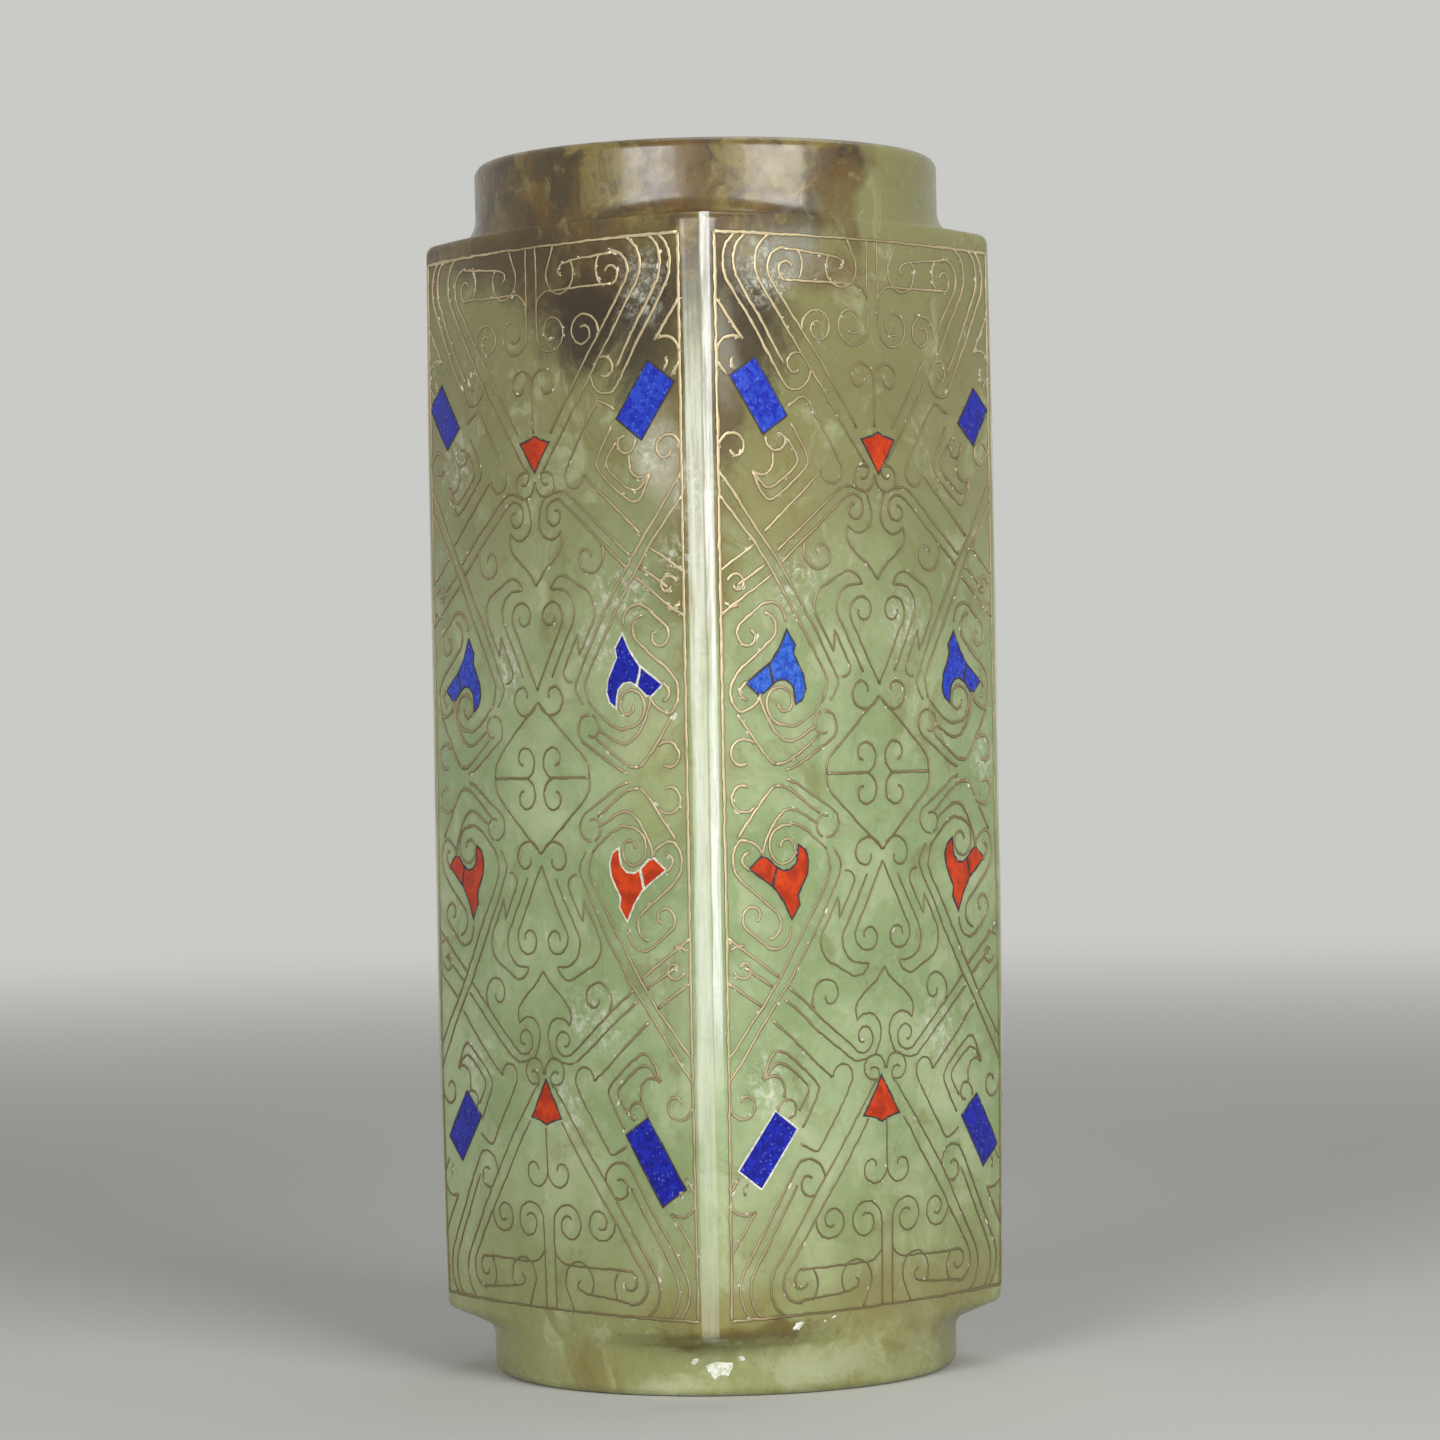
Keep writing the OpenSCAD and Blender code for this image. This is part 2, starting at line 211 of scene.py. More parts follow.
def jade_material():
    """Nephrite, ground and polished to a waxy gloss: light sinks in a few millimetres and clouds it,
    iron stains it russet round the rim and olive below, and cottony flecks run through it. The arrises
    carry painted highlights, pale strips with a painted dark line between them, and one grey patch at
    the right face's top is a painted reflection."""
    material, tree, shader, place = new_material("polished_nephrite")
    drift = add_node(tree, "TexNoise", {"Vector": place, "Scale": 1 / 14, "Detail": 3.0})
    centred = add_node(tree, "VectorMath", {0: drift.outputs["Color"], 1: (0.5, 0.5, 0.5)},
                       operation="SUBTRACT")
    warped = add_node(tree, "VectorMath", {0: centred, 1: (14.0, 14.0, 20.0), 2: place}, **TIMES_PLUS)
    x, y, z = add_node(tree, "SeparateXYZ", {0: warped}).outputs

    # Clouds of two greens, with a finer mottle of a paler one
    clouds = add_node(tree, "TexNoise", {"Vector": warped, "Scale": 1 / 22, "Detail": 4.0, "Roughness": 0.6})
    share = add_node(tree, "MapRange", {"Value": clouds, "From Min": 0.36, "From Max": 0.64}, **SMOOTH)
    tone = add_node(tree, "Mix", {"Factor": share, "A": srgb("8c9f6c"), "B": srgb("a7b788")}, **COLOURS)
    mottle = add_node(tree, "TexNoise", {"Vector": place, "Scale": 1 / 3.2, "Detail": 4.0, "Roughness": 0.65})
    share = add_node(tree, "MapRange", {"Value": mottle, "From Min": 0.5, "From Max": 0.72, "To Max": 0.32},
                     **SMOOTH)
    tone = add_node(tree, "Mix", {"Factor": share, "A": tone, "B": srgb("b7c49c")}, **COLOURS)

    # Olive above the middle and towards the foot
    for low, high, most, colour in ((94.0, 160.0, 0.9, "7f7a49"), (46.0, 6.0, 0.7, "8a8448")):
        share = add_node(tree, "MapRange", {"Value": z, "From Min": low, "From Max": high, "To Max": most},
                         **SMOOTH)
        tone = add_node(tree, "Mix", {"Factor": share, "A": tone, "B": srgb(colour)}, **COLOURS)

    # Marbling: veils of paler stone and of olive
    for size, low, most, colour in ((11, 0.52, 0.45, "b9c297"), (13, 0.53, 0.5, "776f35")):
        cloud = add_node(tree, "TexNoise", {"Vector": warped, "Scale": 1 / size, "Detail": 8.0,
                                            "Roughness": 0.68, "Distortion": 0.6})
        share = add_node(tree, "MapRange", {"Value": cloud, "From Min": low, "From Max": low + 0.14,
                                            "To Max": most}, **SMOOTH)
        tone = add_node(tree, "Mix", {"Factor": share, "A": tone, "B": srgb(colour)}, **COLOURS)

    # Cottony flecks, drawn out along the grain
    grain = add_node(tree, "Mapping", {"Vector": warped, "Rotation": (0.5, 0.35, 0.0),
                                       "Scale": (0.5, 0.5, 0.1)})
    flecks = add_node(tree, "TexNoise", {"Vector": grain, "Scale": 1.0, "Detail": 5.0, "Roughness": 0.72})
    share = add_node(tree, "MapRange", {"Value": flecks, "From Min": 0.6, "From Max": 0.76, "To Max": 0.55},
                     **SMOOTH)
    tone = add_node(tree, "Mix", {"Factor": share, "A": tone, "B": srgb("cdd2ba")}, **COLOURS)

    # Russet round the rim, its edge climbing from the near corner to the right
    along = add_node(tree, "Math", {0: x, 1: y}, operation="ADD")
    edge = 182.0
    for low, high, climb in ((-50.0, -34.0, -12.0), (4.0, 30.0, 14.0), (34.0, 44.0, 30.0)):
        step = add_node(tree, "MapRange", {"Value": along, "From Min": low, "From Max": high}, **SMOOTH)
        edge = add_node(tree, "Math", {0: step, 1: climb, 2: edge}, **TIMES_PLUS)
    above = add_node(tree, "Math", {0: z, 1: edge}, operation="SUBTRACT")
    russet = srgb("3a290d")
    for size, low, high, most, colour in ((9, 0.38, 0.6, 1.0, "604514"), (13, 0.5, 0.64, 0.75, "82733a"),
                                          (5, 0.56, 0.7, 0.5, "a09562")):
        rust = add_node(tree, "TexNoise", {"Vector": warped, "Scale": 1 / size, "Detail": 5.0,
                                           "Roughness": 0.7})
        share = add_node(tree, "MapRange", {"Value": rust, "From Min": low, "From Max": high, "To Max": most},
                         **SMOOTH)
        russet = add_node(tree, "Mix", {"Factor": share, "A": russet, "B": srgb(colour)}, **COLOURS)
    share = add_node(tree, "MapRange", {"Value": above, "From Min": -8.0, "From Max": 7.0, "To Max": 0.92},
                     **SMOOTH)
    tone = add_node(tree, "Mix", {"Factor": share, "A": tone, "B": russet}, **COLOURS)

    stain_and_reflection_place = add_node(tree, "VectorMath", {0: centred, 1: (7.0, 7.0, 9.0), 2: place}, **TIMES_PLUS)
    torn = add_node(tree, "TexNoise", {"Vector": warped, "Scale": 1 / 5, "Detail": 6.0, "Roughness": 0.75})
    ragged = add_node(tree, "Math", {0: torn, 1: 1.9, 2: -0.95}, **TIMES_PLUS)
    # Laid over the tone: the stains, and the one painted reflection
    for centre, half, most, colour in STAINS_AND_REFLECTION:
        inverse = Vector([1 / h for h in half])
        offset = add_node(tree, "VectorMath", {0: stain_and_reflection_place, 1: inverse, 2: -Vector(centre) * inverse},
                          **TIMES_PLUS)
        away = add_node(tree, "VectorMath", {0: offset}, operation="LENGTH").outputs["Value"]
        away = add_node(tree, "Math", {0: ragged, 1: away}, operation="ADD")
        share = add_node(tree, "MapRange", {"Value": away, "From Min": 1.35, "From Max": 0.4, "To Max": most},
                         **SMOOTH)
        tone = add_node(tree, "Mix", {"Factor": share, "A": tone, "B": srgb(colour)}, **COLOURS)

    # Frosted places, in fine white wisps
    wisps = add_node(tree, "TexNoise", {"Vector": place, "Scale": 1 / 1.6, "Detail": 7.0, "Roughness": 0.8,
                                        "Distortion": 0.4})
    wisps = add_node(tree, "MapRange", {"Value": wisps, "From Min": 0.46, "From Max": 0.64}, **SMOOTH)
    frost = 0.0
    for centre, half in FROSTS:
        inverse = Vector([1 / h for h in half])
        offset = add_node(tree, "VectorMath", {0: place, 1: inverse, 2: -Vector(centre) * inverse},
                          **TIMES_PLUS)
        away = add_node(tree, "VectorMath", {0: offset}, operation="LENGTH").outputs["Value"]
        share = add_node(tree, "MapRange", {"Value": away, "From Min": 1.3, "From Max": 0.3, "To Max": 0.75},
                         **SMOOTH)
        frost = add_node(tree, "Math", {0: share, 1: frost}, operation="MAXIMUM")
    share = add_node(tree, "Math", {0: frost, 1: wisps}, **TIMES)
    tone = add_node(tree, "Mix", {"Factor": share, "A": tone, "B": srgb("dcdfcd")}, **COLOURS)

    # The four arrises, with painted highlights: how far round from the corner's own line a place lies
    px, py, pz = add_node(tree, "SeparateXYZ", {0: place}).outputs
    across = [add_node(tree, "Math", {0: value}, operation="ABSOLUTE") for value in (px, py)]
    off = add_node(tree, "Math", {0: across[1], 1: across[0]}, operation="SUBTRACT")
    turn = add_node(tree, "Math", {0: px, 1: py}, **TIMES)
    turn = add_node(tree, "Math", {0: turn}, operation="SIGN")
    off = add_node(tree, "Math", {0: off, 1: turn}, **TIMES)
    off = add_node(tree, "Math", {0: off, 1: 0.5 ** 0.5}, **TIMES)
    streaks = add_node(tree, "Mapping", {"Vector": place, "Scale": (0.9, 0.9, 0.05)})
    streaks = add_node(tree, "TexNoise", {"Vector": streaks, "Scale": 1.0, "Detail": 4.0, "Roughness": 0.7})
    off = add_node(tree, "Math", {0: streaks, 1: 0.8, 2: off}, **TIMES_PLUS)
    low_fade = add_node(tree, "MapRange", {"Value": pz, "From Min": 8.0, "From Max": 70.0, "To Min": 0.4},
                        **SMOOTH)
    high_fade = add_node(tree, "MapRange", {"Value": pz, "From Min": 186.0, "From Max": 150.0}, **SMOOTH)
    flat = add_node(tree, "CombineXYZ", {0: px, 1: py})
    reach = add_node(tree, "VectorMath", {0: flat}, operation="LENGTH").outputs["Value"]
    proud = add_node(tree, "MapRange", {"Value": reach, "From Min": 43.0, "From Max": 44.5}, **SMOOTH)
    low_fade = add_node(tree, "Math", {0: low_fade, 1: proud}, **TIMES)
    patchy = add_node(tree, "MapRange", {"Value": streaks, "From Min": 0.35, "From Max": 0.62,
                                         "To Min": 0.45},
                      **SMOOTH)
    cream_highlight_fade = add_node(tree, "Math", {0: high_fade, 1: patchy}, **TIMES)
    seam_and_highlight_fade = add_node(tree, "MapRange", {"Value": pz, "From Min": 38.0, "From Max": 72.0}, **SMOOTH)
    bright = add_node(tree, "Math", {0: seam_and_highlight_fade, 1: patchy}, **TIMES)
    # Painted highlights on each arris: a wide cream strip, a painted dark line, then a narrow white strip
    for start, end, fade, most, colour in ((-1.7, 1.0, cream_highlight_fade, 0.85, "d1d5c3"),
                                           (0.85, 1.12, seam_and_highlight_fade, 0.6, "8a9470"),
                                           (1.12, 2.5, bright, 0.85, "eaebe4")):
        share = add_node(tree, "MapRange", {"Value": off, "From Min": start - 0.15, "From Max": start + 0.15,
                                            "To Max": most}, **SMOOTH)
        stop = add_node(tree, "MapRange", {"Value": off, "From Min": end + 0.15, "From Max": end - 0.15},
                        **SMOOTH)
        share = add_node(tree, "Math", {0: share, 1: stop}, **TIMES)
        share = add_node(tree, "Math", {0: share, 1: low_fade}, **TIMES)
        share = add_node(tree, "Math", {0: share, 1: fade}, **TIMES)
        tone = add_node(tree, "Mix", {"Factor": share, "A": tone, "B": srgb(colour)}, **COLOURS)

    # Polishing left long low waves, duller where the stone is mottled
    dull = add_node(tree, "MapRange", {"Value": mottle, "From Min": 0.35, "From Max": 0.7, "To Min": 0.26,
                                       "To Max": 0.42})
    waves = add_node(tree, "TexNoise", {"Vector": place, "Scale": 1 / 7, "Detail": 4.0})
    bump = add_node(tree, "Bump", {"Height": waves, "Strength": 0.55, "Distance": 0.35 * MM})
    set_inputs(tree, shader, {
        "Base Color": tone, "Roughness": dull, "IOR": 1.5, "Normal": bump, "Coat Weight": 0.25,
        "Coat Roughness": 0.1, "Subsurface Weight": 0.5, "Subsurface Radius": (0.9, 1.0, 0.6),
        "Subsurface Scale": 3.5 * MM})
    return material


def gold_material():
    """Gold wire hammered into its groove: bright tan where hands rub it near the corners and brown
    with old wax towards the middle of a face, with painted shade darker towards the foot and the
    far corners, and darker along both of its edges where it dips into the groove."""
    material, tree, shader, place = new_material("hammered_gold_wire")
    x, y, z = add_node(tree, "SeparateXYZ", {0: place}).outputs
    across = [add_node(tree, "Math", {0: value}, operation="ABSOLUTE") for value in (x, y)]
    inward = add_node(tree, "Math", {0: across[0], 1: across[1]}, operation="MINIMUM")
    patches = add_node(tree, "TexNoise", {"Vector": place, "Scale": 1 / 7, "Detail": 3.0, "Roughness": 0.6})
    high = add_node(tree, "MapRange", {"Value": z, "From Min": 150.0, "From Max": 185.0, "To Max": 12.0},
                    **SMOOTH)
    rub_and_shade = add_node(tree, "Math", {0: patches, 1: 26.0, 2: inward}, **TIMES_PLUS)
    # Painted shade: darker towards the foot
    low = add_node(tree, "MapRange", {"Value": z, "From Min": 100.0, "From Max": 30.0, "To Max": -13.0},
                   **SMOOTH)
    # Painted shade: darker towards the two far corners, at the tube's left and right edges as the camera sees
    # it
    along = add_node(tree, "Math", {0: x, 1: y}, operation="ADD")
    along = add_node(tree, "Math", {0: along}, operation="ABSOLUTE")
    far = add_node(tree, "MapRange", {"Value": along, "From Min": 46.0, "From Max": 60.0, "To Max": -13.0},
                   **SMOOTH)
    for change in (high, low, far):
        rub_and_shade = add_node(tree, "Math", {0: rub_and_shade, 1: change}, operation="ADD")
    share = add_node(tree, "MapRange", {"Value": rub_and_shade, "From Min": 14.0, "From Max": 44.0}, **SMOOTH)
    tone = add_node(tree, "Mix", {"Factor": share, "A": srgb("84764f"), "B": srgb("c9b891")}, **COLOURS)
    # Darker along both edges of each wire, where its dome dips into the groove
    rise = add_node(tree, "Attribute", {}, attribute_name="rise").outputs["Fac"]
    share = add_node(tree, "MapRange", {"Value": rise, "From Min": 0.15, "From Max": 0.7}, **SMOOTH)
    tone = add_node(tree, "Mix", {"Factor": share, "A": srgb("5b4d31"), "B": tone}, **COLOURS)
    dents = add_node(tree, "TexNoise", {"Vector": place, "Scale": 1 / 0.9})
    bump = add_node(tree, "Bump", {"Height": dents, "Strength": 0.5, "Distance": 0.08 * MM})
    tarnish = add_node(tree, "MapRange", {"Value": patches, "From Min": 0.3, "From Max": 0.7, "To Min": 0.3,
                                          "To Max": 0.55})
    set_inputs(tree, shader, {"Base Color": tone, "Metallic": 0.45, "Roughness": tarnish, "Normal": bump})
    return material


def lapis_material(name, deep, bright):
    """Lapis lazuli, cut and polished flat: crystals of two blues, with paler specks of calcite."""
    material, tree, shader, place = new_material(name)
    crystals = add_node(tree, "TexNoise", {"Vector": place, "Scale": 1 / 1.1, "Detail": 4.0,
                                           "Roughness": 0.7})
    share = add_node(tree, "MapRange", {"Value": crystals, "From Min": 0.4, "From Max": 0.62}, **SMOOTH)
    tone = add_node(tree, "Mix", {"Factor": share, "A": srgb(deep), "B": srgb(bright)}, **COLOURS)
    specks = add_node(tree, "TexVoronoi", {"Vector": place, "Scale": 1 / 0.8})
    share = add_node(tree, "MapRange", {"Value": specks, "From Min": 0.24, "From Max": 0.1, "To Max": 0.5},
                     **SMOOTH)
    tone = add_node(tree, "Mix", {"Factor": share, "A": tone, "B": srgb("7f9bea")}, **COLOURS)
    bump = add_node(tree, "Bump", {"Height": crystals, "Strength": 0.3, "Distance": 0.1 * MM})
    gloss = add_node(tree, "MapRange", {"Value": crystals, "From Min": 0.3, "From Max": 0.7, "To Min": 0.24,
                                        "To Max": 0.4})
    set_inputs(tree, shader, {"Base Color": tone, "Roughness": gloss, "Specular IOR Level": 0.35,
                              "Normal": bump})
    return material


def coral_material():
    """Red coral, cut and polished flat: opaque orange red with fine darker pores."""
    material, tree, shader, place = new_material("polished_coral")
    bands = add_node(tree, "TexNoise", {"Vector": place, "Scale": 1 / 2.4, "Detail": 4.0, "Roughness": 0.6})
    share = add_node(tree, "MapRange", {"Value": bands, "From Min": 0.36, "From Max": 0.66}, **SMOOTH)
    tone = add_node(tree, "Mix", {"Factor": share, "A": srgb("a52c0a"), "B": srgb("cf420f")}, **COLOURS)
    pores = add_node(tree, "TexVoronoi", {"Vector": place, "Scale": 1 / 0.7})
    share = add_node(tree, "MapRange", {"Value": pores, "From Min": 0.2, "From Max": 0.08, "To Max": 0.5},
                     **SMOOTH)
    tone = add_node(tree, "Mix", {"Factor": share, "A": tone, "B": srgb("7c2a17")}, **COLOURS)
    bump = add_node(tree, "Bump", {"Height": bands, "Strength": 0.2, "Distance": 0.1 * MM})
    gloss = add_node(tree, "MapRange", {"Value": bands, "From Min": 0.3, "From Max": 0.7, "To Min": 0.28,
                                        "To Max": 0.42})
    set_inputs(tree, shader, {"Base Color": tone, "Roughness": gloss, "Specular IOR Level": 0.35,
                              "Normal": bump})
    return material


def mastic_material():
    """Black lacquer mastic that beds the stones: a dull dark line, gone grey where it has crumbled."""
    material, tree, shader, place = new_material("black_mastic")
    crumbs = add_node(tree, "TexNoise", {"Vector": place, "Scale": 1 / 1.6, "Detail": 3.0, "Roughness": 0.7})
    share = add_node(tree, "MapRange", {"Value": crumbs, "From Min": 0.56, "From Max": 0.74}, **SMOOTH)
    tone = add_node(tree, "Mix", {"Factor": share, "A": srgb("30262a"), "B": srgb("8a8672")}, **COLOURS)
    bump = add_node(tree, "Bump", {"Height": crumbs, "Strength": 0.5, "Distance": 0.1 * MM})
    set_inputs(tree, shader, {"Base Color": tone, "Roughness": 0.6, "Normal": bump})
    return material


def bruise_material():
    """Jade bruised by a blow or by the graver: white, sugary and dull."""
    material, tree, shader, place = new_material("bruised_nephrite")
    sugar = add_node(tree, "TexNoise", {"Vector": place, "Scale": 1 / 0.7, "Detail": 3.0, "Roughness": 0.7})
    share = add_node(tree, "MapRange", {"Value": sugar, "From Min": 0.35, "From Max": 0.65}, **SMOOTH)
    tone = add_node(tree, "Mix", {"Factor": share, "A": srgb("b9bfa2"), "B": srgb("ebece0")}, **COLOURS)
    bump = add_node(tree, "Bump", {"Height": sugar, "Strength": 0.8, "Distance": 0.2 * MM})
    set_inputs(tree, shader, {"Base Color": tone, "Roughness": 0.45, "Normal": bump})
    return material


JADE = jade_material()
GOLD = gold_material()
LAPIS = (lapis_material("deep_lapis", "0a0d80", "1524ae"), lapis_material("bright_lapis", "1424a0", "2a48c0"),
         lapis_material("azure_lapis", "2046ae", "3a6cce"))
CORAL = coral_material()
MASTIC = mastic_material()
BRUISE = bruise_material()


def piece_from(bm, name, material, smooth=True):
    """Makes a finished piece that rides on the one body."""
    mesh = bpy.data.meshes.new(name)
    bm.to_mesh(mesh)
    bm.free()
    mesh.materials.append(material)
    mesh.polygons.foreach_set("use_smooth", [smooth] * len(mesh.polygons))
    piece = bpy.data.objects.new(name, mesh)
    bpy.context.scene.collection.objects.link(piece)
    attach(piece, "root")
    return piece


# The jade tube

# The arris is ground to two narrow facets: [lean from the corner's own direction, distance from the axis]
ARRIS_WIDE = (math.radians(-4.6), 46.99)
ARRIS_NARROW = (math.radians(12.7), 46.19)
ARRIS_SOFTNESS = 0.25
ARRIS_CROWDING = 0.86
FOOT_WEAR, RIM_WEAR, ARRIS_WANDER = 0.5, 0.3, 0.12
WAVE_SIZE, WAVE_DEPTH = 16.0, 0.07


def soft_least(first, second, softness):
    """The lesser of two lengths, rounded over where they cross."""
    share = max(softness - abs(first - second), 0.0) / softness
    return min(first, second) - share * share * softness / 4


def outline(angle, z):
    """How far the jade reaches from its axis, in the direction of an angle and at a height."""
    quarter = math.pi / 2
    lean = angle - round(angle / quarter) * quarter
    draw = face_draw(z) + SKIN
    centre = HALF_FLATS - FACE_R
    across = (FACE_R - draw) ** 2 - (centre * math.sin(lean)) ** 2
    reach = centre * math.cos(lean) + math.sqrt(across)
    from_corner = lean - math.copysign(quarter / 2, lean)
    corner_draw = draw + FOOT_WEAR * smoothstep(60, 10, z) + RIM_WEAR * smoothstep(150, 187, z)
    wander = ARRIS_WANDER * noise.noise(Vector((z / 22, round((angle - quarter / 2) / quarter), 3.1)))
    wide = (ARRIS_WIDE[1] - corner_draw + wander) / math.cos(from_corner - ARRIS_WIDE[0])
    fade = 0.9 * smoothstep(34, 16, z) + 0.12 * smoothstep(120, 180, z)
    narrow = (ARRIS_NARROW[1] - corner_draw - wander + fade) / math.cos(from_corner - ARRIS_NARROW[0])
    return soft_least(soft_least(reach, wide, ARRIS_SOFTNESS), narrow, ARRIS_SOFTNESS)


def jade_profile():
    """The turned profile from the bore's foot out and up to the rim, at the corners' full reach."""
    low_z = FOOT_H + (CORNER_R - FOOT_R) * math.tan(LOWER_RISE)
    high_z = HEIGHT - RIM_H - (CORNER_R - RIM_R) * math.tan(UPPER_FALL)
    turn = math.degrees(LOWER_RISE)
    fall = math.degrees(UPPER_FALL)
    points = rounded((BORE_R + MOUTH_R, MOUTH_R), MOUTH_R, 180, 270)
    points += rounded((FOOT_R - LIP_R, LIP_R), LIP_R, -90, 0)
    drop = LOWER_COVE / math.cos(LOWER_RISE) - LOWER_COVE * math.tan(LOWER_RISE)
    points += rounded((FOOT_R + LOWER_COVE, FOOT_H - drop), LOWER_COVE, 180, 90 + turn)
    points += [(FOOT_R + LOWER_COVE + 2, FOOT_H + (LOWER_COVE + 2) * math.tan(LOWER_RISE))]
    points += rounded((CORNER_R - SHOULDER_R, low_z + SHOULDER_R), SHOULDER_R, turn - 90, 0)
    rows = math.ceil((high_z - low_z - 2 * SHOULDER_R) / ROW)
    first, last = low_z + SHOULDER_R, high_z - SHOULDER_R
    points += [(CORNER_R, first + (last - first) * i / rows) for i in range(1, rows)]
    points += rounded((CORNER_R - SHOULDER_R, last), SHOULDER_R, 0, 90 - fall)
    points += [(RIM_R + UPPER_COVE + 2, HEIGHT - RIM_H - (UPPER_COVE + 2) * math.tan(UPPER_FALL))]
    lift = UPPER_COVE / math.cos(UPPER_FALL) - UPPER_COVE * math.tan(UPPER_FALL)
    points += rounded((RIM_R + UPPER_COVE, HEIGHT - RIM_H + lift), UPPER_COVE, 270 - fall, 180)
    points += rounded((RIM_R - LIP_R, HEIGHT - LIP_R), LIP_R, 0, 90)
    points += rounded((BORE_R + MOUTH_R, HEIGHT - MOUTH_R), MOUTH_R, 90, 180)
    points += [(BORE_R, HEIGHT * i / 12) for i in range(11, 0, -1)]
    return points


def shape_jade(vertex):
    """Moves a turned vertex to the square outline, its columns crowded towards the arrises."""
    x, y, z = vertex.co / MM
    radius = math.hypot(x, y)
    quarter = math.pi / 2
    angle = math.atan2(y, x)
    lean = angle - round(angle / quarter) * quarter
    angle += ARRIS_CROWDING * math.sin(4 * lean) / 4
    collar = FOOT_R if z < HEIGHT / 2 else RIM_R
    if radius > collar + 0.01:
        share = (radius - collar) / (CORNER_R - collar)
        radius = collar + share * (outline(angle, z) - collar)
    if radius > BORE_R + MOUTH_R:
        place = Vector((radius * math.cos(angle), radius * math.sin(angle), z)) / WAVE_SIZE
        radius -= WAVE_DEPTH * abs(noise.noise(place)) * smoothstep(0, 6, min(z, HEIGHT - z))
    vertex.co = Vector((radius * math.cos(angle), radius * math.sin(angle), z)) * MM


def make_jade():
    """Spins the profile round the bore, then grinds it to the square."""
    bm = bmesh.new()
    points = [bm.verts.new(Vector((x, 0, z)) * MM) for x, z in jade_profile()]
    edges = [bm.edges.new((a, b)) for a, b in zip(points, points[1:] + points[:1])]
    bmesh.ops.spin(bm, geom=points + edges, cent=(0, 0, 0), axis=(0, 0, 1), angle=2 * math.pi,
                   steps=TURNS, use_merge=True)
    bmesh.ops.remove_doubles(bm, verts=bm.verts, dist=0.001 * MM)
    for vertex in bm.verts:
        shape_jade(vertex)
    bmesh.ops.recalc_face_normals(bm, faces=bm.faces)
    jade = piece_from(bm, "polished_jade_tube", JADE)
    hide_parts("jade_body")


make_jade()

# The gold wire

# One quarter of a face's pattern: x from the centre line out to the arris, y from the waist line out.
# The lattice ties the stones together, and the scrolls fill what it leaves.
LATTICE = [
    curl((23.6, 80.8), 6, 6, 50, -75) + [(19.6, 63.4)] + curl((16.6, 64.2), 3.25, 3.2, -58, -122),
    curl((22.2, 81.0), 5.5, 5.5, 53, -88) + [(18.7, 65.0)],
    curl((18.8, 80.9), 5.05, 5.05, 65, -100) + [(13.4, 64.2), (2.3, 49.7)],
    curl((18.1, 80.2), 3.35, 3.35, 95, -133) + [(3.9, 55.4)],
    [(31.1, 75.2), (26.4, 68.7)],
    [(31.1, 65.3), (29.4, 63.0)],
    [(18.1, 58.3), (14.9, 60.2), (13.9, 58.9), (8.2, 50.7)] + curl((9.4, 48.3), 2.2, 1.9, 130, 230),
    [(17.6, 55.8), (14.3, 50.6), (14.3, 48.9), (20.9, 43.5), (23.0, 43.6), (25, 47.9)],
    [(18.4, 53.2), (16.2, 50.3), (16.6, 48.9), (20.9, 45.5), (22.8, 45.4), (24.9, 48)],
    [(31.1, 32.3), (24.8, 36.4)],
    [(23.0, 38.5), (11.5, 48.3)],
    [(28.0, 30.0), (22.8, 33.3)],
    [(20.7, 35.3), (8.0, 45.4), (6.2, 46.1), (2.4, 45.1)],
    [(31.1, 25.3), (21.5, 31.8)],
    [(19.9, 33.5), (8.6, 42.6)] + curl((4.9, 42.2), 2.6, 0.7, 55, 400),
    [(31.1, 48), (24, 38.4), (20, 33.2), (15.2, 26), (9.0, 15.4), (8.8, 14.0), (10.5, 11.7)],
    [(31.1, 44.2), (24.8, 36.8), (21.4, 31.9), (11.2, 15.9), (11.1, 14.4), (11.9, 12)],
    [(0, 12.3), (10.9, 3.1), (11.6, 1.6), (11.6, 0)]]

